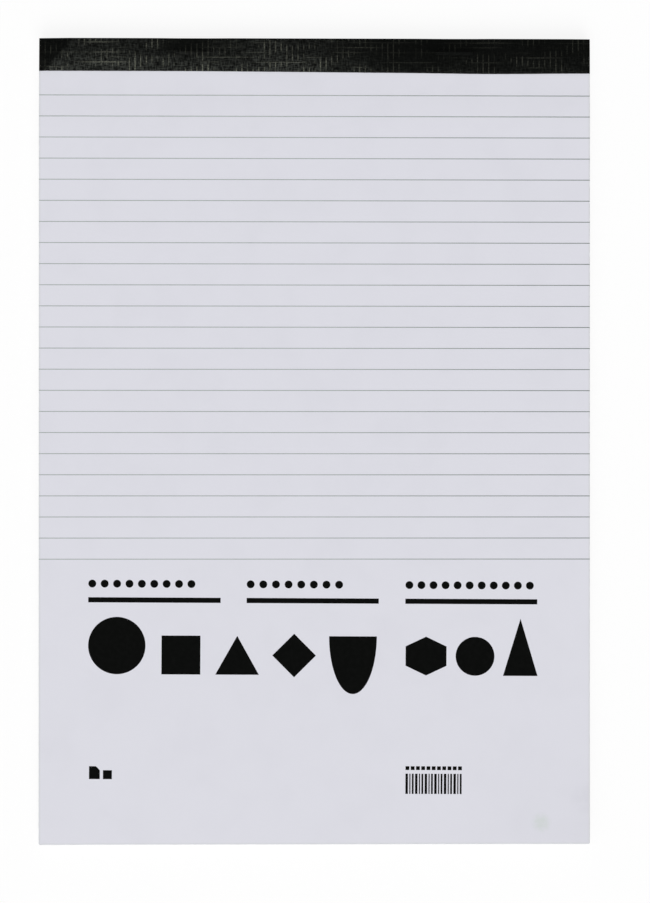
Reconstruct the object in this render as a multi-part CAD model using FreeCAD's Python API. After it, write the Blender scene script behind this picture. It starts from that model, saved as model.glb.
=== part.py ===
"""A4 writing pad: ruled leaves under a printed cover, stitched and taped along the head.

Units are millimetres. The pad lies on its back: X runs across it, +Y points to the bound
head, +Z up out of the cover. The origin is under the middle of the pad, on the ground.
"""
import FreeCAD, Part
import math
import os

from FreeCAD import Vector

# Driving dimensions: the trimmed pad
pad_width = 210.0
leaf_length = 297.0
head_strip = 10.0
corner_radius = 0.6

# Driving dimensions: what the pad is stacked from
leaf_count = 100
leaf_thickness = 0.08
cover_thickness = 0.15
board_thickness = 0.9
board_edge_radius = 0.3
board_press = 0.05

# Driving dimensions: the head, squeezed thinner where it is stitched
nip_drop = 0.4
nip_flat = 14.0
nip_run = 20.0
shoulder_radius = 0.6

# Driving dimensions: the tear line through the leaves
perforation_width = 0.3
perforation_depth = 0.2

# Driving dimensions: the cloth tape, laid on a little askew at the front
tape_thickness = 0.25
front_lip_left = 12.3
front_lip_right = 13.0
back_lip = 13.0
ridge_root_radius = 1.0
ridge_sink = 0.02

# Driving dimensions: the two wire stitches
wire_diameter = 0.5
wire_fit = 0.02
staple_crown = 13.0
staple_bend = 0.8
staple_clinch = 4.0
staple_inset = 5.0
staple_spacing = 100.0
staple_offset = 3.3

# How far a cutting tool runs past what it cuts
overrun = 2.0

# Lengthways places: the head face of the stack, its foot, and the nip between them
pad_length = leaf_length + head_strip
y_head = (pad_length - tape_thickness) / 2
y_foot = y_head - pad_length
y_tear = y_head - head_strip
y_nip_near = y_head - nip_flat
y_nip_far = y_nip_near - nip_run
y_shoulder = y_head - shoulder_radius
y_back_lip = y_head - back_lip

# Heights: the tape's back lip lies on the ground and the board is pressed thinner above it
z_board_pressed = tape_thickness
z_board_open = z_board_pressed - board_press
z_board_top = z_board_open + board_thickness
z_block_top = z_board_top + leaf_count * leaf_thickness
z_block_low = z_block_top - nip_drop
z_cover_low = z_block_low + cover_thickness
z_shoulder = z_cover_low - shoulder_radius
z_above = z_block_top + cover_thickness + tape_thickness + wire_diameter + overrun

# The nip is two equal arcs that meet half way, so its slope starts and ends level
nip_angle = 2 * math.atan(nip_drop / nip_run)
nip_radius = nip_run / (2 * math.sin(nip_angle))

# The wire's centre line: its crown clears the cover and its clinch clears the tape
wire_radius = wire_diameter / 2
z_crown = z_cover_low + wire_radius + 2 * wire_fit
z_clinch = z_board_pressed + wire_radius + 2 * wire_fit
y_stitch = y_head - staple_inset


def side(y, z):
    """A point of the pad's side view, on its left edge."""
    return Vector(-pad_width / 2, y, z)


def line(a, b):
    return Part.LineSegment(a, b).toShape()


def arc(centre, radius, start_degrees, end_degrees, place):
    """An arc whose points place() turns from two flat coordinates into a vector."""
    points = []
    for share in (0.0, 0.5, 1.0):
        angle = math.radians(start_degrees + share * (end_degrees - start_degrees))
        points.append(place(centre[0] + radius * math.cos(angle), centre[1] + radius * math.sin(angle)))
    return Part.Arc(*points).toShape()


def joined(edges):
    """A closed face from edges that follow one another; the last gap is closed by a line."""
    first = edges[0].valueAt(edges[0].FirstParameter)
    last = edges[-1].valueAt(edges[-1].LastParameter)
    if first.distanceToPoint(last) > wire_fit / 10:
        edges = edges + [line(last, first)]
    return Part.Face(Part.Wire(Part.__sortEdges__(edges)))


def across(face):
    """A side-view face drawn out over the whole width of the pad."""
    return face.extrude(Vector(pad_width, 0, 0))


def layer_edges(rise):
    """The line from foot to head shoulder that lies `rise` above the top of the leaves."""
    bend = math.degrees(nip_angle)
    shoulder = shoulder_radius - cover_thickness + rise
    return [
        line(side(y_foot, z_block_top + rise), side(y_nip_far, z_block_top + rise)),
        arc((y_nip_far, z_block_top - nip_radius), nip_radius + rise, 90, 90 - bend, side),
        arc((y_nip_near, z_block_low + nip_radius), nip_radius - rise, 270 - bend, 270, side),
        line(side(y_nip_near, z_block_low + rise), side(y_shoulder, z_block_low + rise)),
        arc((y_shoulder, z_shoulder), shoulder, 90, 0, side),
    ]


def backwards(edges):
    """The same edges, walked from the head to the foot."""
    return list(reversed(edges))


def trimmed(solid):
    """The solid cut to the pad's plan, with its four slightly blunted corners."""
    plan = Part.makeBox(
        pad_width,
        pad_length + tape_thickness,
        z_above + overrun,
        Vector(-pad_width / 2, y_foot, -overrun),
    )
    upright = [e for e in plan.Edges if abs(e.tangentAt(e.FirstParameter).z) > 0.5]
    return solid.common(plan.makeFillet(corner_radius, upright)).removeSplitter()


# The wire stitch: crown under the tape, legs through the stack, ends clinched inwards
def stitch_path(x_middle, spare):
    """The wire's centre line, its two cut ends lengthened by `spare`."""
    left = x_middle - staple_crown / 2
    right = x_middle + staple_crown / 2
    bend = staple_bend
    tip = staple_clinch + spare

    def upright(x, z):
        return Vector(x, y_stitch, z)

    return Part.Wire([
        line(upright(left + tip, z_clinch), upright(left + bend, z_clinch)),
        arc((left + bend, z_clinch + bend), bend, 270, 180, upright),
        line(upright(left, z_clinch + bend), upright(left, z_crown - bend)),
        arc((left + bend, z_crown - bend), bend, 180, 90, upright),
        line(upright(left + bend, z_crown), upright(right - bend, z_crown)),
        arc((right - bend, z_crown - bend), bend, 90, 0, upright),
        line(upright(right, z_crown - bend), upright(right, z_clinch + bend)),
        arc((right - bend, z_clinch + bend), bend, 0, -90, upright),
        line(upright(right - bend, z_clinch), upright(right - tip, z_clinch)),
    ])


def stitch_wire(x_middle, radius, spare):
    path = stitch_path(x_middle, spare)
    start = Vector(x_middle - staple_crown / 2 + staple_clinch + spare, y_stitch, z_clinch)
    ring = Part.Wire([Part.Circle(start, Vector(-1, 0, 0), radius).toShape()])
    return path.makePipeShell([ring], True, False)


def stitch_channel(x_middle):
    """The hole the wire has made for itself, a little wider than the wire."""
    return stitch_wire(x_middle, wire_radius + wire_fit, wire_fit)


def clinch_mouths(x_middle):
    """Where the clinched ends lie open in the board's back."""
    length = staple_clinch + wire_fit
    height = z_clinch + overrun
    left = x_middle - staple_crown / 2
    right = x_middle + staple_crown / 2
    return [
        Part.makeBox(length, wire_diameter, height, Vector(x, y_stitch - wire_radius, -overrun))
        for x in (left, right - length)
    ]


def ridge(x_middle, rise, base):
    """The tent that the tape makes over a crown, its skin `rise` above the tape's underside.

    Its section is an arc round the wire that flows into the flat tape by a hollow root
    on each side. The tent is drawn along the crown and turned round each of its ends.
    """
    half_crown = staple_crown / 2
    cap = wire_radius + wire_fit + rise
    root = ridge_root_radius + tape_thickness - rise
    z_root = z_cover_low + tape_thickness + ridge_root_radius - ridge_sink
    centres = cap + root
    y_root = math.sqrt(centres ** 2 - (z_root - z_crown) ** 2)
    lean = math.degrees(math.asin((z_root - z_crown) / centres))
    z_skin = z_cover_low + rise - ridge_sink

    def section(y, z):
        return Vector(x_middle - half_crown, y_stitch + y, z)

    half = [
        arc((0, z_crown), cap, 90, lean, section),
        arc((y_root, z_root), root, 180 + lean, 270, section),
        line(section(y_root, z_skin), section(y_root, base)),
        line(section(y_root, base), section(0, base)),
        line(section(0, base), section(0, z_crown + cap)),
    ]
    face = joined(half)
    far_half = face.mirror(Vector(0, y_stitch, 0), Vector(0, 1, 0))
    along = Vector(staple_crown, 0, 0)
    near_end = face.revolve(section(0, base), Vector(0, 0, 1), 180)
    far_end = near_end.mirror(Vector(x_middle, 0, 0), Vector(1, 0, 0))
    body = face.extrude(along).fuse([far_half.extrude(along), near_end, far_end])
    return body.removeSplitter()


# Backing board: greyboard, pressed thinner and rounded where the tape folds round it
def make_board():
    press_corner = (y_head - board_edge_radius, z_board_pressed + board_edge_radius)
    outline = [
        line(side(y_foot, z_board_open), side(y_foot, z_board_top)),
        line(side(y_foot, z_board_top), side(y_head, z_board_top)),
        line(side(y_head, z_board_top), side(y_head, press_corner[1])),
        arc(press_corner, board_edge_radius, 0, -90, side),
        line(side(press_corner[0], z_board_pressed), side(y_back_lip, z_board_pressed)),
        line(side(y_back_lip, z_board_pressed), side(y_back_lip, z_board_open)),
    ]
    return trimmed(across(joined(outline)))


# Leaves: one block, nipped at the head, with the tear line showing on both sides
def make_block():
    outline = [line(side(y_foot, z_board_top), side(y_foot, z_block_top))]
    outline += layer_edges(0.0)
    outline += [
        line(side(y_head - cover_thickness, z_shoulder), side(y_head, z_shoulder)),
        line(side(y_head, z_shoulder), side(y_head, z_board_top)),
    ]
    block = trimmed(across(joined(outline)))
    spread = perforation_width / 2 * (1 + overrun / perforation_depth)
    for edge in (-1, 1):
        root = Vector(edge * (pad_width / 2 - perforation_depth), y_tear, 0)
        outer = edge * (pad_width / 2 + overrun)
        notch = Part.Face(Part.makePolygon([
            root,
            Vector(outer, y_tear - spread, 0),
            Vector(outer, y_tear + spread, 0),
            root,
        ]))
        block = block.cut(notch.extrude(Vector(0, 0, z_above)))
    return block


# Cover: one printed sheet, turned down over the shoulder of the head
def make_cover():
    outline = layer_edges(cover_thickness)
    outline += [line(side(y_head, z_shoulder), side(y_head - cover_thickness, z_shoulder))]
    outline += backwards(layer_edges(0.0))
    outline += [line(side(y_foot, z_block_top), side(y_foot, z_block_top + cover_thickness))]
    return trimmed(across(joined(outline)))


# Tape: one strip folded round the head, tented over both crowns
def make_tape(stitch_places):
    skin = cover_thickness + tape_thickness
    corner = (y_head - board_edge_radius, z_board_pressed + board_edge_radius)
    outline = layer_edges(skin)
    outline += [
        line(side(y_head + tape_thickness, z_shoulder), side(y_head + tape_thickness, corner[1])),
        arc(corner, board_edge_radius + tape_thickness, 0, -90, side),
        line(side(corner[0], 0), side(y_back_lip, 0)),
        line(side(y_back_lip, 0), side(y_back_lip, z_board_pressed)),
        line(side(y_back_lip, z_board_pressed), side(corner[0], z_board_pressed)),
        arc(corner, board_edge_radius, -90, 0, side),
        line(side(y_head, corner[1]), side(y_head, z_shoulder)),
    ]
    outline += backwards(layer_edges(cover_thickness))
    outline += [line(side(y_foot, z_block_top + cover_thickness), side(y_foot, z_block_top + skin))]
    tape = across(joined(outline))
    left, right = -pad_width / 2, pad_width / 2
    y_far = y_foot - overrun
    z_cut = z_board_top
    past_lip = Part.Face(Part.makePolygon([
        Vector(left, y_head - front_lip_left, z_cut),
        Vector(right, y_head - front_lip_right, z_cut),
        Vector(right + overrun, y_head - front_lip_right, z_cut),
        Vector(right + overrun, y_far, z_cut),
        Vector(left - overrun, y_far, z_cut),
        Vector(left - overrun, y_head - front_lip_left, z_cut),
        Vector(left, y_head - front_lip_left, z_cut),
    ]))
    tape = trimmed(tape.cut(past_lip.extrude(Vector(0, 0, z_above))))
    for x_middle in stitch_places:
        tape = tape.fuse(ridge(x_middle, tape_thickness, z_cover_low + tape_thickness / 2))
        tape = tape.cut(ridge(x_middle, 0.0, z_cover_low - tape_thickness))
    return tape.removeSplitter()


stitch_places = {
    "staple_left": staple_offset - staple_spacing / 2,
    "staple_right": staple_offset + staple_spacing / 2,
}

board = make_board()
block = make_block()
cover = make_cover()
for x_stitch in stitch_places.values():
    channel = stitch_channel(x_stitch)
    cover = cover.cut(channel)
    block = block.cut(channel)
    board = board.cut(channel)
    for mouth in clinch_mouths(x_stitch):
        board = board.cut(mouth)

pieces = {
    "backing_board": board,
    "sheet_block": block,
    "front_cover": cover,
    "binding_tape": make_tape(stitch_places.values()),
}
for name, x_stitch in stitch_places.items():
    pieces[name] = stitch_wire(x_stitch, wire_radius, 0.0)

os.makedirs("parts", exist_ok=True)
for name, shape in pieces.items():
    shape.exportStep("parts/" + name + ".step")
    box = shape.BoundBox
    print(
        name, "valid", shape.isValid(), "solids", len(shape.Solids), "faces", len(shape.Faces),
        "volume", round(shape.Volume, 3),
        "x", round(box.XMin, 3), round(box.XMax, 3),
        "y", round(box.YMin, 3), round(box.YMax, 3),
        "z", round(box.ZMin, 3), round(box.ZMax, 3),
    )
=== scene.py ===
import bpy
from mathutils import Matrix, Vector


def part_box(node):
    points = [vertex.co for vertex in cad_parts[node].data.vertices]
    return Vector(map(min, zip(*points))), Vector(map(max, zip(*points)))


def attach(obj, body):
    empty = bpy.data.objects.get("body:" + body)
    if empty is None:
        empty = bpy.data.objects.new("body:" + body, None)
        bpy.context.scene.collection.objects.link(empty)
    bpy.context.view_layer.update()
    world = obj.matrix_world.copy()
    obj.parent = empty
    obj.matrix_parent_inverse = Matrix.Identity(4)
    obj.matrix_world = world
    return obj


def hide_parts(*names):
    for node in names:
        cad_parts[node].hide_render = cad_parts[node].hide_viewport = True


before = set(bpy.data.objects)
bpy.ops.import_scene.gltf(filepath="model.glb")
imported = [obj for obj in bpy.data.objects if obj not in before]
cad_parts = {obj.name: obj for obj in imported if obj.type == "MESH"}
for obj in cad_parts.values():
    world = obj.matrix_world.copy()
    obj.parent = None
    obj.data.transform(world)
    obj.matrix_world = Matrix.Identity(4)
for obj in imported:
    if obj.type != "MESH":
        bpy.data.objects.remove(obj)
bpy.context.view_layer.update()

import math
import random

import bmesh
import bpy
from mathutils import Matrix, Vector, noise

# Camera. The pad is seen from straight above by a long lens a metre away, hung a hair out of
# true, so its left side comes out a little longer than its right. Nothing is shifted.
mm = 0.001
camera_height = 1.0
camera_across, camera_along = -10.5 * mm, -5.2 * mm
camera_lean = [math.radians(angle) for angle in (0.072, -0.833, 0.016)]
camera_data = bpy.data.cameras.new("copy_stand_camera")
camera_data.sensor_fit = "HORIZONTAL"
camera_data.sensor_width = 36.0
camera_data.lens = 144.0
camera_data.clip_start = 0.05
camera = bpy.data.objects.new("copy_stand_camera", camera_data)
camera.location = (camera_across, camera_along, camera_height)
camera.rotation_euler = camera_lean
bpy.context.collection.objects.link(camera)
scene = bpy.context.scene
scene.camera = camera
scene.view_settings.view_transform = "Standard"

# Lamps. A broad soft key stands past the foot of the pad, where it rakes the cloth of the
# tape, and a weaker one fills from the left. Together with the room they light
# the paper to the level at which its colour is written.
lamps = (
    # name, direction it stands in (degrees round from +X, degrees up), strength, softness
    ("key_lamp", 275, 50, 2.09, 40),
    ("fill_lamp", 205, 58, 0.66, 50),
)
for lamp_name, bearing, height, strength, softness in lamps:
    lamp_data = bpy.data.lights.new(lamp_name, "SUN")
    lamp_data.energy = strength
    lamp_data.angle = math.radians(softness)
    lamp = bpy.data.objects.new(lamp_name, lamp_data)
    lamp.rotation_euler = (0, math.radians(90 - height), math.radians(bearing))
    bpy.context.collection.objects.link(lamp)


def add(tree, kind, takes=(), **settings):
    """Adds one node with its settings. takes maps an input to a value or to another's output."""
    made = tree.nodes.new("ShaderNode" + kind)
    for setting, value in settings.items():
        setattr(made, setting, value)
    for socket, value in dict(takes).items():
        if isinstance(value, bpy.types.NodeSocket):
            tree.links.new(value, made.inputs[socket])
        else:
            made.inputs[socket].default_value = value
    return made


# Room. White walls low down and a dim ceiling, so that what faces up mirrors little light and
# the cut edges of the leaves still get enough.
wall_light, ceiling_light = 0.9, 0.24
world = bpy.data.worlds.new("studio_room")
world.use_nodes = True
scene.world = world
room = world.node_tree
room.nodes.clear()
heading = add(room, "TexCoord").outputs["Generated"]
upward = add(room, "SeparateXYZ", {0: heading}).outputs["Z"]
shade = add(room, "MapRange", {"Value": upward, "From Min": 0.02, "From Max": 0.6,
                               "To Min": wall_light, "To Max": ceiling_light})
seen = add(room, "LightPath").outputs["Is Camera Ray"]
level = add(room, "Math", {0: shade.outputs[0], 1: seen}, operation="MAXIMUM").outputs[0]
walls = add(room, "Background", {"Color": (1, 1, 1, 1), "Strength": level})
add(room, "OutputWorld", {"Surface": walls.outputs[0]})

# Floor. A plain white sweep just under the pad. The lens sees it almost white, with the soft
# shadow of the pad kept on it.
floor_size, floor_drop = 8.0, 0.05 * mm
floor_white, floor_glow = 0.92, 0.88
bm = bmesh.new()
bmesh.ops.create_grid(bm, x_segments=1, y_segments=1, size=floor_size / 2)
bmesh.ops.translate(bm, verts=bm.verts, vec=(0, 0, -floor_drop))
floor_mesh = bpy.data.meshes.new("studio_floor")
bm.to_mesh(floor_mesh)
bm.free()
floor = bpy.data.objects.new("studio_floor", floor_mesh)
bpy.context.collection.objects.link(floor)
floor_paint = bpy.data.materials.new("matt_white_floor")
floor_paint.use_nodes = True
tree = floor_paint.node_tree
tree.nodes.clear()
path = add(tree, "LightPath")
direct = add(tree, "Math", {0: path.outputs["Is Camera Ray"], 1: path.outputs["Is Glossy Ray"]},
             operation="ADD")
direct = add(tree, "Math", {0: direct.outputs[0], 1: path.outputs["Is Transmission Ray"]},
             operation="ADD", use_clamp=True)
share = add(tree, "Math", {0: direct.outputs[0], 1: floor_glow}, operation="MULTIPLY")
paint = add(tree, "BsdfDiffuse", {"Color": (floor_white, floor_white, floor_white, 1)})
glow = add(tree, "Emission", {"Color": (1, 1, 1, 1), "Strength": 1.0})
both = add(tree, "MixShader", {0: share.outputs[0], 1: paint.outputs[0], 2: glow.outputs[0]})
add(tree, "OutputMaterial", {"Surface": both.outputs[0]})
floor_mesh.materials.append(floor_paint)

# Backing board. Solid greyboard, pressed from waste-paper pulp and cut with the leaves by
# the same guillotine. It is pressed a little thinner where the tape folds over it.


def srgb(code):
    """A hex colour as written for a screen, turned to the linear colour a shader takes."""
    parts = [int(code[place:place + 2], 16) / 255 for place in (1, 3, 5)]
    linear = [c / 12.92 if c <= 0.04045 else ((c + 0.055) / 1.055) ** 2.4 for c in parts]
    return tuple(linear) + (1.0,)


def start_material(name, roughness, specular):
    """A material with one plastic-like shader, whose even values are set on its own sockets."""
    material = bpy.data.materials.new(name)
    material.use_nodes = True
    tree = material.node_tree
    tree.nodes.clear()
    shader = add(tree, "BsdfPrincipled", {"Roughness": roughness, "Specular IOR Level": specular})
    add(tree, "OutputMaterial", {"Surface": shader.outputs[0]})
    return material, tree, shader


board_grey, board_dark_fleck, board_pale_fibre = srgb("#9C968B"), srgb("#716B61"), srgb("#B9B3A7")
pulp_cloud, fleck_size, fibre_length, fibre_width = 9 * mm, 0.9 * mm, 3.5 * mm, 0.45 * mm
# Pulp flecks and lighter fibres lying mostly along the machine's run, on a matt grey-brown.
greyboard, tree, shader = start_material("pressed_greyboard", roughness=0.92, specular=0.25)
place = add(tree, "TexCoord").outputs["Object"]
cloud = add(tree, "TexNoise", {"Vector": place, "Scale": 1 / pulp_cloud, "Detail": 3.0})
flecks = add(tree, "TexNoise", {"Vector": place, "Scale": 1 / fleck_size, "Detail": 2.0})
laid = add(tree, "Mapping", {"Vector": place,
                             "Scale": (1 / fibre_width, 1 / fibre_length, 1 / fibre_width)})
fibres = add(tree, "TexNoise", {"Vector": laid.outputs[0], "Scale": 1.0, "Detail": 2.0})
dark_share = add(tree, "MapRange", {"Value": flecks.outputs[0], "From Min": 0.6,
                                    "From Max": 0.74, "To Max": 0.7})
pale_share = add(tree, "MapRange", {"Value": fibres.outputs[0], "From Min": 0.56,
                                    "From Max": 0.76, "To Max": 0.6})
tone = add(tree, "MapRange", {"Value": cloud.outputs[0], "From Min": 0.3, "From Max": 0.7,
                              "To Min": 0.0, "To Max": 0.22})
colour = add(tree, "MixRGB", {0: tone.outputs[0], 1: board_grey, 2: board_dark_fleck})
colour = add(tree, "MixRGB", {0: dark_share.outputs[0], 1: colour.outputs[0], 2: board_dark_fleck})
colour = add(tree, "MixRGB", {0: pale_share.outputs[0], 1: colour.outputs[0], 2: board_pale_fibre})
tree.links.new(colour.outputs[0], shader.inputs["Base Color"])
felt = add(tree, "Bump", {"Height": fibres.outputs[0], "Distance": 0.04 * mm, "Strength": 0.7})
tree.links.new(felt.outputs[0], shader.inputs["Normal"])
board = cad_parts["backing_board"]
board.data.materials.clear()
board.data.materials.append(greyboard)

# Wire stitches. Drawn galvanised wire, driven through the stack from the front and clinched
# on the board. The tape covers them, and only its bumps tell where they are.
wire_grey, wire_dark = srgb("#B8B8B2"), srgb("#8A8A85")
draw_mark, bloom_size = 0.05 * mm, 1 * mm
# Bright drawn wire, with fine marks of the die along it and a thin dull bloom of zinc.
zinc_wire, tree, shader = start_material("galvanised_stitching_wire", roughness=0.38, specular=0.5)
shader.inputs["Metallic"].default_value = 1.0
place = add(tree, "TexCoord").outputs["Object"]
bloom = add(tree, "TexNoise", {"Vector": place, "Scale": 1 / bloom_size, "Detail": 3.0})
colour = add(tree, "MixRGB", {0: bloom.outputs[0], 1: wire_grey, 2: wire_dark})
tree.links.new(colour.outputs[0], shader.inputs["Base Color"])
marks = add(tree, "TexNoise", {"Vector": place, "Scale": 1 / draw_mark, "Detail": 1.0})
dull = add(tree, "MapRange", {"Value": marks.outputs[0], "To Min": 0.3, "To Max": 0.5})
tree.links.new(dull.outputs[0], shader.inputs["Roughness"])
for stitch in ("staple_left", "staple_right"):
    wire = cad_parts[stitch]
    wire.data.materials.clear()
    wire.data.materials.append(zinc_wire)

# Leaves. A hundred sheets of uncoated writing paper in one guillotined block. Squeezed at
# the head by the stitches, pressed down at its top left corner, a little open at the foot.
board_low, board_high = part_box("backing_board")
block_low, block_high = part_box("sheet_block")
left_edge, right_edge = board_low[0], board_high[0]
foot, head = board_low[1], board_high[1]
pad_width, pad_length = right_edge - left_edge, head - foot
board_top, leaf_top = block_low[2], block_high[2]
leaf_count = 100
leaf_pitch = (leaf_top - board_top) / leaf_count
corner_radius, weld_distance = 0.6 * mm, 0.001 * mm
nip_drop, nip_flat, nip_run = 0.4 * mm, 14 * mm, 20 * mm
nip_angle = 2 * math.atan(nip_drop / nip_run)
nip_radius = nip_run / (2 * math.sin(nip_angle))
nip_start = head - nip_flat - nip_run
stitch_inset, stitch_crown = 5 * mm, 13 * mm
stitch_boxes = [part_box(stitch) for stitch in ("staple_left", "staple_right")]
stitch_middles = [(low[0] + high[0]) / 2 for low, high in stitch_boxes]


def eased(share):
    """0 to 1, held level at both ends."""
    share = min(max(share, 0.0), 1.0)
    return share * share * (3 - 2 * share)


def nip(y):
    """How far the stack is squeezed at y, on two arcs that meet half way down the nip."""
    run = min(max(y - nip_start, 0.0), nip_run)
    near_rest = nip_radius - math.sqrt(nip_radius ** 2 - min(run, nip_run - run) ** 2)
    return near_rest if run < nip_run / 2 else nip_drop - near_rest


# The pressed corner slopes down beyond a crease that runs from the head edge to the left side.
crease_head = Vector((left_edge + 12.7 * mm, head))
crease_side = Vector((left_edge + 2.8 * mm, head - 11.5 * mm))
crease_away = Vector((crease_side.y - crease_head.y, crease_head.x - crease_side.x)).normalized()
crease_slope, crease_softness = 0.11, 1.2 * mm
right_fall, right_fall_across, right_fall_along = 0.3 * mm, 12 * mm, 8 * mm
stitch_fall, stitch_fall_reach, stitch_fall_fade = 0.34 * mm, 15.4 * mm, 11 * mm
crown_margin = 1 * mm
sway, sway_size, sway_seed = 0.05 * mm, 70 * mm, 0.5
foot_lift, foot_lift_reach = 0.14 * mm, 28 * mm


def settle(x, y):
    """How far the top leaf lies above or below a flat stack at (x, y), apart from the nip."""
    beyond = (Vector((x, y)) - crease_head).dot(crease_away)
    bent = beyond - crease_softness / 2
    if beyond < crease_softness:
        bent = beyond ** 2 / (2 * crease_softness)
    rise = -crease_slope * bent if beyond > 0 else 0.0
    along = eased((y - head + right_fall_along) / right_fall_along)
    rise -= right_fall * eased((x - right_edge + right_fall_across) / right_fall_across) * along
    past_crown = eased((y - head + stitch_inset + crown_margin) / (stitch_inset - crown_margin))
    for middle in stitch_middles:
        fall_share = eased((stitch_fall_reach - abs(x - middle)) / stitch_fall_fade)
        rise -= stitch_fall * fall_share * past_crown
    swell = noise.noise(Vector((x / sway_size, y / sway_size, sway_seed)))
    rise += sway * swell * eased((head - y) / sway_size)
    for side_edge in (left_edge, right_edge):
        reach = math.hypot(x - side_edge, y - foot)
        rise += foot_lift * eased(1 - reach / foot_lift_reach)
    return rise


def finish_piece(bm, name, material, smooth=False):
    """A named object at the origin from a mesh that already lies in its place."""
    mesh = bpy.data.meshes.new(name)
    bm.to_mesh(mesh)
    bm.free()
    for face in mesh.polygons:
        face.use_smooth = smooth
    mesh.materials.append(material)
    piece = bpy.data.objects.new(name, mesh)
    bpy.context.collection.objects.link(piece)
    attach(piece, "root")
    return piece


def lines(*stretches):
    """Grid lines from (start, end, step) stretches that follow one another."""
    found = [stretches[0][0]]
    for start, end, step in stretches:
        count = max(1, round((end - start) / step))
        found += [start + (end - start) * part / count for part in range(1, count + 1)]
    return found


def gridded(across, along):
    """A flat mesh at height 0 with one vertex where each line across meets one along."""
    bm = bmesh.new()
    bmesh.ops.create_grid(bm, x_segments=len(across) - 1, y_segments=len(along) - 1, size=0.5)
    for v in bm.verts:
        v.co.x = across[round((v.co.x + 0.5) * (len(across) - 1))]
        v.co.y = along[round((v.co.y + 0.5) * (len(along) - 1))]
    return bm


def round_corner(bm, x_edge, y_edge, inward):
    """Rounds one corner of a flat sheet by drawing what lies outside its arc in to it."""
    centre = Vector((x_edge - math.copysign(corner_radius, x_edge), y_edge + inward * corner_radius))
    for v in bm.verts:
        out = v.co.xy - centre
        if out.x * x_edge > 0 and out.y * inward < 0 and out.length > corner_radius:
            v.co.xy = centre + out.normalized() * corner_radius
    bmesh.ops.remove_doubles(bm, verts=bm.verts, dist=weld_distance)


jog_room, wander_step, wander_hold, stray_step = 0.1 * mm, 0.025 * mm, 0.9, 0.028 * mm
tear_line, tear_width, tear_depth = head - 10 * mm, 0.3 * mm, 0.2 * mm
edge_gap = 0.14 * leaf_pitch
block_left, block_right, block_foot = left_edge + jog_room, right_edge - jog_room, foot + jog_room
arc_step, open_step, nip_step = 0.2 * mm, 6 * mm, 2 * mm
across = lines((block_left, block_left + corner_radius, arc_step),
               (block_left + corner_radius, block_right - corner_radius, open_step),
               (block_right - corner_radius, block_right, arc_step))
along = lines((block_foot, block_foot + corner_radius, arc_step),
              (block_foot + corner_radius, nip_start, open_step),
              (nip_start, tear_line - tear_width / 2, nip_step),
              (tear_line - tear_width / 2, tear_line + tear_width / 2, tear_width / 2),
              (tear_line + tear_width / 2, head - nip_step, nip_step),
              (head - nip_step, head, nip_step))
bm = gridded(across, along)
for side_edge in (block_left, block_right):
    for v in bm.verts:
        if abs(v.co.x - side_edge) < tear_depth / 2 and abs(v.co.y - tear_line) < tear_width / 4:
            v.co.x -= math.copysign(tear_depth, side_edge)
    round_corner(bm, side_edge, block_foot, 1)
bmesh.ops.translate(bm, verts=bm.verts, vec=(0, 0, leaf_top))
rim = [edge for edge in bm.edges if edge.is_boundary]
dropped = bmesh.ops.spin(bm, geom=rim, axis=(0, 0, 1), angle=0, steps=2 * leaf_count,
                         dvec=(0, 0, -leaf_pitch / 2))["geom_last"]
last_ring = [part for part in dropped if isinstance(part, bmesh.types.BMEdge)]
bmesh.ops.contextual_create(bm, geom=last_ring)
bmesh.ops.recalc_face_normals(bm, faces=bm.faces)
random.seed(11)
wander = Vector((0.0, 0.0))
jogs = []
for leaf in range(leaf_count):
    step = Vector((random.uniform(-1, 1), random.uniform(-1, 1))) * wander_step
    wander = wander_hold * (wander + step)
    jog = wander + Vector((random.uniform(-1, 1), random.uniform(-1, 1))) * stray_step
    jogs.append((max(-jog_room, min(jog_room, jog.x)), max(-jog_room, min(0.0, jog.y))))
cover_thickness, shoulder_radius = 0.15 * mm, 0.6 * mm
shoulder = head - shoulder_radius


def shoulder_level(x):
    """The height of the line round which cover and tape turn down over the head."""
    return leaf_top + settle(x, shoulder) - nip(shoulder) + cover_thickness - shoulder_radius


# Two rings of vertices make a leaf. Each takes its leaf's jog, the nip and the settling, and
# what stands above the shoulder draws back under the turn of the cover.
for v in bm.verts:
    ring = round((leaf_top - v.co.z) / (leaf_pitch / 2))
    leaf = ring // 2
    across_jog, along_jog = jogs[min(leaf, leaf_count - 1)]
    v.co.x += across_jog
    v.co.y += along_jog
    v.co.z = leaf_top - leaf * leaf_pitch - (ring % 2) * (leaf_pitch - edge_gap)
    share = (v.co.z - board_top) / (leaf_top - board_top)
    v.co.z += share ** 3 * settle(v.co.x, v.co.y) - share * nip(v.co.y)
    above = v.co.z - shoulder_level(v.co.x)
    if above > 0:
        reach = math.sqrt(max((shoulder_radius - cover_thickness) ** 2 - above ** 2, 0.0))
        v.co.y = min(v.co.y, shoulder + reach)

leaf_white, leaf_gap_shade, rule_tick = srgb("#DADAD7"), srgb("#ACACAA"), srgb("#9CA2AD")
clump, clump_run, streak, streak_run = 0.42 * mm, 90 * mm, 1.4 * leaf_pitch, 25 * mm
rule_pitch, first_rule, rule_width, rule_count = 8.034 * mm, 285.4 * mm, 0.3 * mm, 23
leaf_rules, tick_half_width, tick_stray = 33, 0.16 * mm, 0.5 * mm
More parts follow.
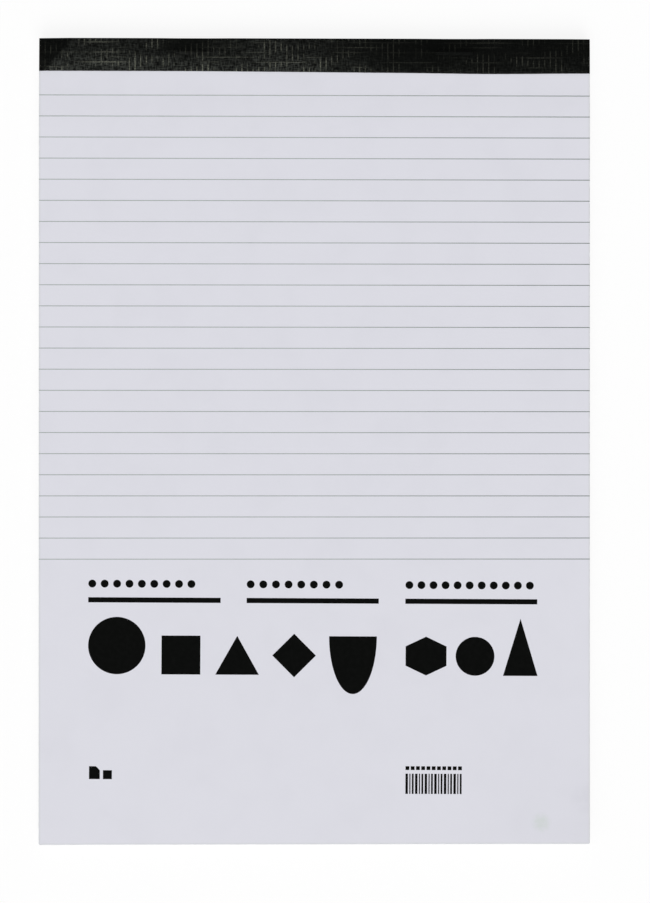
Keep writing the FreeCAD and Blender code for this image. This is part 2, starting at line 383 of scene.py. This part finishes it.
# Cut paper edges: each leaf a fine pale line, leaves gathered in paler and greyer clumps, the grey
# painted shade in the gaps between leaves, and the ends of the leaves' ruled lines showing as faint
# grey ticks that stray from leaf to leaf.
cut_paper, tree, shader = start_material("guillotined_writing_paper", roughness=0.88, specular=0.25)
place = add(tree, "TexCoord").outputs["Object"]
thin = add(tree, "Mapping", {"Vector": place, "Scale": (1 / streak_run, 1 / streak_run, 1 / streak)})
single = add(tree, "TexNoise", {"Vector": thin.outputs[0], "Scale": 1.0, "Detail": 1.0})
thick = add(tree, "Mapping", {"Vector": place, "Scale": (1 / clump_run, 1 / clump_run, 1 / clump)})
clumps = add(tree, "TexNoise", {"Vector": thick.outputs[0], "Scale": 1.0, "Detail": 2.0})
mixed = add(tree, "Math", {0: single.outputs[0], 1: clumps.outputs[0]}, operation="ADD")
# Painted shade: grey streaks and clumps stand for the shade in the gaps between the leaves.
gap_shade_share = add(tree, "MapRange", {"Value": mixed.outputs[0], "From Min": 1.0, "From Max": 1.45,
                                   "To Max": 0.75})
colour = add(tree, "MixRGB", {0: gap_shade_share.outputs[0], 1: leaf_white, 2: leaf_gap_shade})
spot_y = add(tree, "SeparateXYZ", {0: place}).outputs["Y"]
stray = add(tree, "MapRange", {"Value": single.outputs[0], "To Min": -tick_stray, "To Max": tick_stray})
below = add(tree, "Math", {0: foot + first_rule, 1: spot_y}, operation="SUBTRACT")
below = add(tree, "Math", {0: below.outputs[0], 1: stray.outputs[0]}, operation="ADD")
half_ruled = (leaf_rules - 1) * rule_pitch / 2
ruled = add(tree, "Math", {0: below.outputs[0], 1: half_ruled, 2: half_ruled + tick_half_width},
            operation="COMPARE")
off_rule = add(tree, "Math", {0: below.outputs[0], 1: rule_pitch / 2}, operation="PINGPONG")
tick = add(tree, "MapRange", {"Value": off_rule.outputs[0], "From Min": 0.5 * tick_half_width,
                              "From Max": 1.5 * tick_half_width, "To Min": 0.6, "To Max": 0.0})
tick = add(tree, "Math", {0: tick.outputs[0], 1: ruled.outputs[0]}, operation="MULTIPLY")
colour = add(tree, "MixRGB", {0: tick.outputs[0], 1: colour.outputs[0], 2: rule_tick})
tree.links.new(colour.outputs[0], shader.inputs["Base Color"])
leaf_block = finish_piece(bm, "leaf_block", cut_paper)
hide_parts("sheet_block")

# Cover. One sheet of smooth white stock over the leaves, gathered under the tape at the head
# and turned down over the shoulder of the stack. Loose at the foot, where it lifts a little.
quarter = math.pi / 2
cover_lift, cover_lift_reach = 0.16 * mm, 30 * mm
lifted_corners = ((left_edge, 0.6), (right_edge, 1.0))


def loose(x, y):
    """How far the cover lifts off the top leaf towards the corners of the foot."""
    rise = 0.0
    for side_edge, part in lifted_corners:
        reach = math.hypot(x - side_edge, y - foot)
        rise += part * cover_lift * eased(1 - reach / cover_lift_reach)
    return rise


def on_stack(x, y, rise):
    """The height `rise` above the top leaf at (x, y), nipped and settled as the stack is."""
    return leaf_top + settle(x, y) - nip(y) + loose(x, y) + rise


def turned(x, along, rise):
    """A point of a sheet on the stack. Past the shoulder it turns down over the head."""
    if along <= shoulder:
        return Vector((x, along, on_stack(x, along, rise)))
    angle = min((along - shoulder) / shoulder_radius, quarter)
    bend = shoulder_radius - cover_thickness + rise
    return Vector((x, shoulder + bend * math.sin(angle), shoulder_level(x) + bend * math.cos(angle)))


def flat_sheet(across, along, thickness):
    """A flat sheet on the given lines, from height 0 to its thickness, with its UV in metres."""
    bm = gridded(across, along)
    raised = bmesh.ops.extrude_face_region(bm, geom=bm.faces[:])["geom"]
    upper = [part for part in raised if isinstance(part, bmesh.types.BMVert)]
    bmesh.ops.translate(bm, verts=upper, vec=(0, 0, thickness))
    bmesh.ops.recalc_face_normals(bm, faces=bm.faces)
    chart = bm.loops.layers.uv.new("flat")
    for face in bm.faces:
        for loop in face.loops:
            loop[chart].uv = loop.vert.co.xy
    return bm


rim_zone, rim_step, open_step, nip_step = 15 * mm, 1.8 * mm, 5 * mm, 1.6 * mm
arc_step, turn_step = 0.15 * mm, 0.16 * mm
across = lines((left_edge, left_edge + corner_radius, arc_step),
               (left_edge + corner_radius, left_edge + rim_zone, rim_step),
               (left_edge + rim_zone, right_edge - rim_zone, open_step),
               (right_edge - rim_zone, right_edge - corner_radius, rim_step),
               (right_edge - corner_radius, right_edge, arc_step))
along = lines((foot, foot + corner_radius, arc_step),
              (foot + corner_radius, foot + rim_zone, rim_step),
              (foot + rim_zone, nip_start, open_step),
              (nip_start, shoulder, nip_step),
              (shoulder, shoulder + quarter * shoulder_radius, turn_step))
bm = flat_sheet(across, along, cover_thickness)
for side_edge in (left_edge, right_edge):
    round_corner(bm, side_edge, foot, 1)
for v in bm.verts:
    v.co = turned(v.co.x, v.co.y, v.co.z)

cover_white, cover_grey, smudge_grey = srgb("#DADAE2"), srgb("#D2D2DA"), srgb("#CBD1D0")
paper_cloud, tooth, smudge_reach = 14 * mm, 0.35 * mm, 4.6 * mm
smudge_spot = Vector((left_edge + 191.5 * mm, foot + 8.3 * mm, 0))
worn_spot, worn_reach = Vector((right_edge - 1 * mm, foot + 17 * mm, 0)), 8 * mm
foot_corner_shade_spot, foot_corner_shade_reach = Vector((right_edge, foot, 0)), 60 * mm
rim_width, rim_grey = 0.9 * mm, srgb("#C9CCCC")
# Smooth uncoated stock with a cool white. A faint cloudiness from its making, edges greyed by
# handling, a broad painted shade towards the right corner of the foot, and there a rubbed patch and a
# small smudge.
cover_stock, tree, shader = start_material("smooth_white_cover_paper", roughness=0.8, specular=0.3)
place = add(tree, "TexCoord").outputs["Object"]
cloud = add(tree, "TexNoise", {"Vector": place, "Scale": 1 / paper_cloud, "Detail": 3.0})
cloud_share = add(tree, "MapRange", {"Value": cloud.outputs[0], "From Min": 0.45,
                                     "From Max": 0.85, "To Max": 0.35})
colour = add(tree, "MixRGB", {0: cloud_share.outputs[0], 1: cover_white, 2: cover_grey})
patches = (
    # Painted shade over the right corner of the foot, where the cover lifts.
    (foot_corner_shade_spot, foot_corner_shade_reach, cover_grey, 0.3),
    (worn_spot, worn_reach, cover_grey, 0.7),
    (smudge_spot, smudge_reach, smudge_grey, 0.75),
)
for spot, reach, tint, depth in patches:
    centred = add(tree, "Mapping", {"Vector": place, "Location": -spot / reach,
                                    "Scale": (1 / reach, 1 / reach, 0)})
    ball = add(tree, "TexGradient", {"Vector": centred.outputs[0]}, gradient_type="SPHERICAL")
    broken = add(tree, "TexNoise", {"Vector": place, "Scale": 1 / (0.35 * reach), "Detail": 3.0})
    patch = add(tree, "Math", {0: ball.outputs["Fac"], 1: broken.outputs[0]}, operation="MULTIPLY")
    patch_share = add(tree, "MapRange", {"Value": patch.outputs[0], "From Min": 0.05,
                                         "From Max": 0.4, "To Max": depth})
    colour = add(tree, "MixRGB", {0: patch_share.outputs[0], 1: colour.outputs[0], 2: tint})
split = add(tree, "SeparateXYZ", {0: place})
edge_shares = []
# The greyed rim runs up both sides, which lie half a width off the middle, and along the foot,
# which lies a whole length off the head.
for way, middle, half in (("X", 0.0, right_edge), ("Y", head, pad_length)):
    off = add(tree, "Math", {0: split.outputs[way], 1: middle}, operation="SUBTRACT")
    off = add(tree, "Math", {0: off.outputs[0]}, operation="ABSOLUTE")
    edge_shares.append(add(tree, "MapRange", {"Value": off.outputs[0], "From Min": half - rim_width,
                                              "From Max": half, "To Max": 0.55}).outputs[0])
rim_share = add(tree, "Math", {0: edge_shares[0], 1: edge_shares[1]}, operation="MAXIMUM")
colour = add(tree, "MixRGB", {0: rim_share.outputs[0], 1: colour.outputs[0], 2: rim_grey})
tree.links.new(colour.outputs[0], shader.inputs["Base Color"])
grain = add(tree, "TexNoise", {"Vector": place, "Scale": 1 / tooth, "Detail": 2.0})
feel = add(tree, "Bump", {"Height": grain.outputs[0], "Distance": 0.006 * mm, "Strength": 0.6})
tree.links.new(feel.outputs[0], shader.inputs["Normal"])
cover = finish_piece(bm, "cover_sheet", cover_stock, smooth=True)
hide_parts("front_cover")

# Ruling. The cover repeats the feint ruling of the leaves down to the printed panel: thin
# grey lines from edge to edge, printed on the sheet before it was cut.
ink_height, ink_sunk, ink_step, cut_margin = 0.02 * mm, 0.006 * mm, 5 * mm, 0.0001 * mm


def printed(bm, name, material, turn=0.0, pivot=(0, 0)):
    """Gives flat printed shapes a film's thickness and lays them on the cover."""
    if turn:
        bmesh.ops.rotate(bm, verts=bm.verts, cent=(*pivot, 0), matrix=Matrix.Rotation(turn, 3, "Z"))
    for way in (0, 1):
        low = min(v.co[way] for v in bm.verts)
        high = max(v.co[way] for v in bm.verts)
        normal = [0, 0, 0]
        normal[way] = 1
        for cut in range(1, int((high - low) / ink_step) + 1):
            spot = [0, 0, 0]
            spot[way] = low + cut * ink_step
            parts = bm.verts[:] + bm.edges[:] + bm.faces[:]
            bmesh.ops.bisect_plane(bm, geom=parts, dist=cut_margin, plane_co=spot, plane_no=normal)
    raised = bmesh.ops.extrude_face_region(bm, geom=bm.faces[:])["geom"]
    upper = [part for part in raised if isinstance(part, bmesh.types.BMVert)]
    bmesh.ops.translate(bm, verts=upper, vec=(0, 0, ink_height))
    bmesh.ops.recalc_face_normals(bm, faces=bm.faces)
    for v in bm.verts:
        v.co.z += on_stack(v.co.x, v.co.y, cover_thickness) - ink_sunk
    piece = finish_piece(bm, name, material)


def stamp(bm, sides, left, low, width, height, turn=0.0):
    """One solid printed shape of so many sides, fitted to a box given from left edge and foot."""
    made = bmesh.ops.create_circle(bm, cap_ends=True, segments=sides, radius=1.0)["verts"]
    bmesh.ops.rotate(bm, verts=made, cent=(0, 0, 0), matrix=Matrix.Rotation(turn, 3, "Z"))
    spans = [(min(v.co[way] for v in made), max(v.co[way] for v in made)) for way in (0, 1)]
    for v in made:
        v.co.x = left_edge + left + width * (v.co.x - spans[0][0]) / (spans[0][1] - spans[0][0])
        v.co.y = foot + low + height * (v.co.y - spans[1][0]) / (spans[1][1] - spans[1][0])
    return made


square_on = math.radians(45)
ink_break = 1.3 * mm
rule_grey, rule_pale, rule_full = srgb("#939B98"), srgb("#A9B1AE"), srgb("#6E7774")
# Pale grey offset ink, a little broken by the tooth of the paper and laid fuller at the right.
feint_ink, tree, shader = start_material("feint_grey_ruling_ink", roughness=0.85, specular=0.2)
place = add(tree, "TexCoord").outputs["Object"]
breaks = add(tree, "TexNoise", {"Vector": place, "Scale": 1 / ink_break, "Detail": 2.0})
colour = add(tree, "MixRGB", {0: breaks.outputs[0], 1: rule_grey, 2: rule_pale})
spot_x = add(tree, "SeparateXYZ", {0: place}).outputs["X"]
full_share = add(tree, "MapRange", {"Value": spot_x, "From Min": left_edge + 0.5 * pad_width,
                                    "From Max": right_edge, "To Max": 0.85})
colour = add(tree, "MixRGB", {0: full_share.outputs[0], 1: colour.outputs[0], 2: rule_full})
tree.links.new(colour.outputs[0], shader.inputs["Base Color"])
bm = bmesh.new()
for rule in range(rule_count):
    low = first_rule - rule * rule_pitch - rule_width / 2
    stamp(bm, 4, 0, low, pad_width, rule_width, square_on)
printed(bm, "feint_ruling", feint_ink)

# Printed panel. The lower part of the cover carries black print: three columns, each with a
# row of dots over a heavy rule, and under them one bold row of plain solid shapes.
print_turn = math.radians(-0.3)
column_lefts, column_width = (18.75 * mm, 79.0 * mm, 139.5 * mm), 50.35 * mm
pivot_height = 80 * mm
pivot = (left_edge + column_lefts[0], foot + pivot_height)
heavy_rule_low, heavy_rule_height = 92.25 * mm, 1.95 * mm
dot_low, dot_size, dot_sides = 97.9 * mm, 3.0 * mm, 20
# For each column, how many dots and how wide the row is.
dot_rows = ((9, 40.7 * mm), (8, 36.7 * mm), (11, 49.0 * mm))
black_ink_colour, black_ink_thin = srgb("#040504"), srgb("#0C0D0C")
solid_mottle = 1.6 * mm
# Black offset ink, laid thick and matt, with the slight mottle that a solid has on paper.
black_ink, tree, shader = start_material("matt_black_offset_ink", roughness=0.75, specular=0.05)
place = add(tree, "TexCoord").outputs["Object"]
mottle = add(tree, "TexNoise", {"Vector": place, "Scale": 1 / solid_mottle, "Detail": 3.0})
thin_share = add(tree, "MapRange", {"Value": mottle.outputs[0], "From Min": 0.4,
                                    "From Max": 0.75, "To Max": 0.5})
colour = add(tree, "MixRGB", {0: thin_share.outputs[0], 1: black_ink_colour, 2: black_ink_thin})
tree.links.new(colour.outputs[0], shader.inputs["Base Color"])
bm = bmesh.new()
for column_left in column_lefts:
    stamp(bm, 4, column_left, heavy_rule_low, column_width, heavy_rule_height, square_on)
printed(bm, "heavy_rules", black_ink, print_turn, pivot)
bm = bmesh.new()
for column_left, (dots, row_width) in zip(column_lefts, dot_rows):
    for dot in range(dots):
        spot = column_left + (row_width - dot_size) * dot / (dots - 1)
        stamp(bm, dot_sides, spot, dot_low, dot_size, dot_size)
printed(bm, "dot_rows", black_ink, print_turn, pivot)


def clip(bm, shape, spot, away):
    """Cuts off what a stamped shape has beyond a spot, in the direction away."""
    face = shape[0].link_faces[0]
    parts = shape + [face] + face.edges[:]
    bmesh.ops.bisect_plane(bm, geom=parts, dist=cut_margin, clear_outer=True,
                           plane_co=spot, plane_no=away)


base_line, low_height, tall_height, drop = 64.95 * mm, 14.8 * mm, 21.8 * mm, 7.2 * mm
headline_shapes = (
    # sides, left, low, width, height, turn
    (72, 18.8 * mm, base_line, tall_height, tall_height, 0.0),
    (4, 46.7 * mm, base_line, low_height, low_height, square_on),
    (3, 67.2 * mm, base_line, 16.6 * mm, low_height, 0.0),
    (4, 88.9 * mm, base_line - 0.9 * mm, 16.6 * mm, 16.6 * mm, 0.0),
    (6, 139.7 * mm, base_line, 15.6 * mm, low_height, 0.0),
    (64, 158.8 * mm, base_line, low_height, low_height, 0.0),
    (3, 176.9 * mm, base_line, 13.2 * mm, tall_height, 0.0),
)
bm = bmesh.new()
for sides, left, low, width, height, turn in headline_shapes:
    stamp(bm, sides, left, low, width, height, turn)
bowl_left, bowl_width, bowl_depth, bowl_sides = 110.5 * mm, 18.2 * mm, low_height + drop, 72
bowl_rim = base_line + low_height
bowl = stamp(bm, bowl_sides, bowl_left, bowl_rim - bowl_depth, bowl_width, 2 * bowl_depth)
clip(bm, bowl, (0, foot + bowl_rim, 0), (0, 1, 0))
printed(bm, "headline_shapes", black_ink, print_turn, pivot)

# Small print. Near the foot a little page and a square at the left, and at the right a row of
# tiny squares over a block of stripes, which repeat and stand for nothing.
mark_left, mark_low, page_width, page_height = 19.4 * mm, 25.0 * mm, 4.1 * mm, 4.9 * mm
page_cut, mark_gap, mark_square = 1.5 * mm, 1.2 * mm, 3.4 * mm
small_left, small_width = 139.9 * mm, 21.5 * mm
square_low, square_size, squares = 28.9 * mm, 1.45 * mm, 11
stripe_low, stripe_height = 19.8 * mm, 7.7 * mm
stripe_widths, stripe_gap, stripe_sets = (0.95 * mm, 0.45 * mm, 0.7 * mm), 0.52 * mm, 6
bm = bmesh.new()
page = stamp(bm, 4, mark_left, mark_low, page_width, page_height, square_on)
corner_at = Vector((left_edge + mark_left + page_width - page_cut, foot + mark_low + page_height, 0))
clip(bm, page, corner_at, (1, 1, 0))
stamp(bm, 4, mark_left + page_width + mark_gap, mark_low, mark_square, mark_square, square_on)
for square in range(squares):
    spot = small_left + (small_width - square_size) * square / (squares - 1)
    stamp(bm, 4, spot, square_low, square_size, square_size, square_on)
stripe_left = small_left
for stripe in range(stripe_sets * len(stripe_widths)):
    stripe_width = stripe_widths[stripe % len(stripe_widths)]
    stamp(bm, 4, stripe_left, stripe_low, stripe_width, stripe_height, square_on)
    stripe_left += stripe_width + stripe_gap
printed(bm, "small_print", black_ink, print_turn, pivot)

# Tape. One strip of black book cloth, coated and embossed with a linen grain, glued round the
# head from the cover to the board. It tents over the crowns of the two wire stitches.
tape_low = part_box("binding_tape")[0]
tape_thickness = 0.25 * mm
board_press_z, board_edge_radius = tape_low[2] + tape_thickness, 0.3 * mm
fold_level = board_press_z + board_edge_radius
lip_left, lip_right, askew_from, askew_over = 12.4 * mm, 13.0 * mm, 0.2, 0.6
lip_bulge, bulge_at, bulge_reach = 0.25 * mm, 0.83, 0.17
back_lip = 13 * mm
wire_radius, wire_fit, tent_root = 0.25 * mm, 0.02 * mm, 1.0 * mm
stitch_line = head - stitch_inset
turn_end = shoulder + quarter * shoulder_radius
face_length = leaf_top - nip_drop + cover_thickness - shoulder_radius - fold_level
fold_start = turn_end + face_length
fold_end = fold_start + quarter * board_edge_radius
tape_end = fold_end + back_lip - board_edge_radius


def lip(x):
    """How far the front lip reaches below the head: laid askew, with a slow bulge at the right."""
    share = (x - left_edge) / pad_width
    bulge = lip_bulge * eased(1 - abs(share - bulge_at) / bulge_reach)
    return lip_left + (lip_right - lip_left) * eased((share - askew_from) / askew_over) + bulge


def tent(x, y, rise):
    """How far the skin `rise` above the tape's underside stands up over a crown at (x, y)."""
    cap = wire_radius + wire_fit + rise
    root = tent_root + tape_thickness - rise
    root_high, crown_high = tape_thickness + tent_root, wire_radius + 2 * wire_fit
    root_out = math.sqrt((cap + root) ** 2 - (root_high - crown_high) ** 2)
    high = 0.0
    for middle in stitch_middles:
        beyond = max(abs(x - middle) - stitch_crown / 2, 0.0)
        out = math.hypot(beyond, y - stitch_line)
        if out < root_out * cap / (cap + root):
            high = crown_high + math.sqrt(cap ** 2 - out ** 2) - rise
        elif out < root_out:
            high = root_high - math.sqrt(root ** 2 - (root_out - out) ** 2) - rise
    return high


def folded(x, along, rise):
    """A point of the tape: over the front, round the shoulder, down the head, under the board."""
    if along <= turn_end:
        spot = turned(x, along, cover_thickness + rise)
        spot.z += tent(x, along, rise)
        return spot
    if along <= fold_start:
        top = shoulder_level(x)
        share = (along - turn_end) / face_length
        return Vector((x, head + rise, top + (fold_level - top) * share))
    fold_line = head - board_edge_radius
    if along <= fold_end:
        angle = (along - fold_start) / board_edge_radius
        bend = board_edge_radius + rise
        return Vector((x, fold_line + bend * math.cos(angle), fold_level - bend * math.sin(angle)))
    return Vector((x, fold_line - (along - fold_end), board_press_z - rise))


tent_zone, tent_step_across, tent_step_along = 1.6 * mm, 0.25 * mm, 0.2 * mm
step_across, step_along, hidden_step = 1 * mm, 0.6 * mm, 0.8 * mm
turn_step, fold_step = 0.12 * mm, 0.1 * mm
lip_row, row_margin = 12.7 * mm, 0.01 * mm
fray_depth, fray_size, back_fray_depth, back_fray_size = 0.035 * mm, 1.1 * mm, 0.03 * mm, 1.3 * mm
fray_seed, back_fray_seed = 3.7, 9.1
across = [left_edge]
for middle in stitch_middles:
    for end in (middle - stitch_crown / 2, middle + stitch_crown / 2):
        across += lines((across[-1], end - tent_zone, step_across),
                        (end - tent_zone, end + tent_zone, tent_step_across))[1:]
across += lines((across[-1], right_edge, step_across))[1:]
along = lines((head - lip_row, stitch_line - tent_zone, step_along),
              (stitch_line - tent_zone, stitch_line + tent_zone, tent_step_along),
              (stitch_line + tent_zone, shoulder, step_along),
              (shoulder, turn_end, turn_step),
              (turn_end, fold_start, hidden_step),
              (fold_start, fold_end, fold_step),
              (fold_end, tape_end, hidden_step))
bm = flat_sheet(across, along, tape_thickness)
# The first row becomes the edge of the front lip and the last that of the back lip, a bit frayed.
for v in bm.verts:
    if abs(v.co.y - along[0]) < row_margin:
        fray = fray_depth * noise.noise(Vector((v.co.x / fray_size, fray_seed, 0)))
        v.co.y = head - lip(v.co.x) + fray
    elif abs(v.co.y - tape_end) < row_margin:
        fray = back_fray_depth * noise.noise(Vector((v.co.x / back_fray_size, back_fray_seed, 0)))
        v.co.y += fray
for v in bm.verts:
    v.co = folded(v.co.x, v.co.y, v.co.z)

cloth_black, cloth_sheen_and_wear, cloth_thread_glint = srgb("#040504"), srgb("#343633"), srgb("#86887A")
grain_width, grain_run, bead = 0.4 * mm, 2.2 * mm, 0.55 * mm
rib_pitch, rib_width, rib_group, rib_run = 2.14 * mm, 0.29 * mm, 9 * mm, 4.5 * mm
cord_pitch, cord_width, cord_run = 1.9 * mm, 0.25 * mm, 24 * mm
blotch, lip_sheen_reach = 16 * mm, 7 * mm
sheen_fade_start, sheen_fade_end = 0.42 * pad_width, 0.66 * pad_width
crown_shade_reach, crown_shade_shift, crown_shade_fade = 7 * mm, 2 * mm, 6 * mm
crown_shade_start, crown_shade_full, crease_blur = -2 * mm, 1 * mm, 0.6 * mm
# Linen-embossed book cloth: black, coated, half gloss. Its grain is 0.3 mm, drawn a third
# coarser so that it shows, and thicker threads stand out in groups, painted pale in beads.
# The left half and the lip carry a painted sheen, lighter together with some wear. The bent
# corner and the hollows behind the crowns carry painted shade, darker than the rest.
linen_cloth, tree, shader = start_material("linen_embossed_book_cloth", roughness=0.4, specular=0.036)
flat = add(tree, "UVMap", uv_map="flat").outputs[0]
parts = add(tree, "SeparateXYZ", {0: flat})


def ramp(value, start, end, first, last, **settings):
    """value taken from start..end to first..last."""
    return add(tree, "MapRange", {"Value": value, "From Min": start, "From Max": end,
                                  "To Min": first, "To Max": last}, **settings).outputs[0]


def joined(first, second, operation="MULTIPLY"):
    """One step of arithmetic on two values, a product unless told otherwise."""
    return add(tree, "Math", {0: first, 1: second}, operation=operation).outputs[0]


def streaks(width, run, low, high, seed):
    """Noise drawn out to width across and run along, cut between low and high to 0 and 1."""
    drawn = add(tree, "Mapping", {"Vector": flat, "Location": (seed, seed, 0),
                                  "Scale": (1 / width, 1 / run, 1)})
    made = add(tree, "TexNoise", {"Vector": drawn.outputs[0], "Scale": 1.0, "Detail": 1.0})
    return ramp(made.outputs[0], low, high, 0.0, 1.0)


def threads(way, pitch, width, shown):
    """Raised threads at an even pitch, there only where shown is 1."""
    off = joined(parts.outputs[way], pitch / 2, "PINGPONG")
    return joined(ramp(off, 0.0, width, 1.0, 0.0), shown)


grain = joined(streaks(grain_width, grain_run, 0.4, 0.74, 3.1),
               streaks(grain_run, grain_width, 0.4, 0.74, 7.7), "ADD")
grain = ramp(grain, 0.15, 2.0, 0.0, 2.0)
rib_groups = streaks(rib_group, rib_run, 0.48, 0.64, 1.3)
cord_groups = streaks(cord_run, cord_pitch, 0.52, 0.68, 5.9)
beads = ramp(streaks(bead, bead, 0.35, 0.65, 4.6), 0.0, 1.0, 0.35, 1.5)
raised_threads = joined(threads("X", rib_pitch, rib_width, rib_groups),
                        threads("Y", cord_pitch, cord_width, cord_groups), "MAXIMUM")
raised_threads = joined(raised_threads, beads)
# Painted sheen: the left half and the rows near the lip are lightened, as if light catches the cloth
# there.
left_half_sheen = ramp(parts.outputs["X"], left_edge + sheen_fade_start, left_edge + sheen_fade_end, 0.54, 0.09,
                 interpolation_type="SMOOTHSTEP")
lip_sheen = ramp(parts.outputs["Y"], head - lip_left, head - lip_left + lip_sheen_reach, 2.15, 0.75)
blotches = ramp(streaks(blotch, blotch, 0.3, 0.7, 2.2), 0.0, 1.0, 0.6, 1.4)
past_across = joined(joined(parts.outputs["X"], crease_head.x, "SUBTRACT"), crease_away.x)
past_along = joined(joined(parts.outputs["Y"], crease_head.y, "SUBTRACT"), crease_away.y)
past_crease = joined(past_across, past_along, "ADD")
# Painted shade: past the crease the bent corner is darkened, as it turns away from the light.
bent_corner_shade = ramp(past_crease, -crease_blur, crease_blur, 1.0, 0.15)
painted_light_and_wear = joined(joined(left_half_sheen, lip_sheen), joined(blotches, bent_corner_shade))
# Painted shade: the cloth on the head side of each crown is darkened, where the tape slopes away from
# the light.
behind = ramp(parts.outputs["Y"], stitch_line + crown_shade_start, stitch_line + crown_shade_full, 0.0, 1.0)
for middle in stitch_middles:
    off = joined(joined(parts.outputs["X"], middle - crown_shade_shift, "SUBTRACT"), 0.0, "ABSOLUTE")
    near = ramp(off, crown_shade_reach, crown_shade_reach + crown_shade_fade, 1.0, 0.0)
    painted_light_and_wear = joined(painted_light_and_wear, ramp(joined(near, behind), 0.0, 1.0, 1.0, 0.3))
# Where this mask is high the cloth is painted paler: partly random wear, partly painted sheen, less
# under painted shade.
painted_light_and_wear_share = add(tree, "Math", {0: painted_light_and_wear, 1: grain}, operation="MULTIPLY", use_clamp=True).outputs[0]
colour = add(tree, "MixRGB", {0: painted_light_and_wear_share, 1: cloth_black, 2: cloth_sheen_and_wear})
# Painted highlights: pale colour on the raised threads stands for the glints that light strikes off
# them.
thread_glint_share = joined(raised_threads, ramp(painted_light_and_wear, 0.0, 1.0, 0.05, 0.6))
colour = add(tree, "MixRGB", {0: thread_glint_share, 1: colour.outputs[0], 2: cloth_thread_glint})
tree.links.new(colour.outputs[0], shader.inputs["Base Color"])
relief = joined(joined(grain, 0.5), raised_threads, "ADD")
emboss = add(tree, "Bump", {"Height": relief, "Distance": 0.06 * mm, "Strength": 1.0})
tree.links.new(emboss.outputs[0], shader.inputs["Normal"])
tree.links.new(ramp(painted_light_and_wear, 0.0, 1.0, 0.58, 0.46), shader.inputs["Roughness"])
tape = finish_piece(bm, "linen_tape", linen_cloth, smooth=True)
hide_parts("binding_tape")
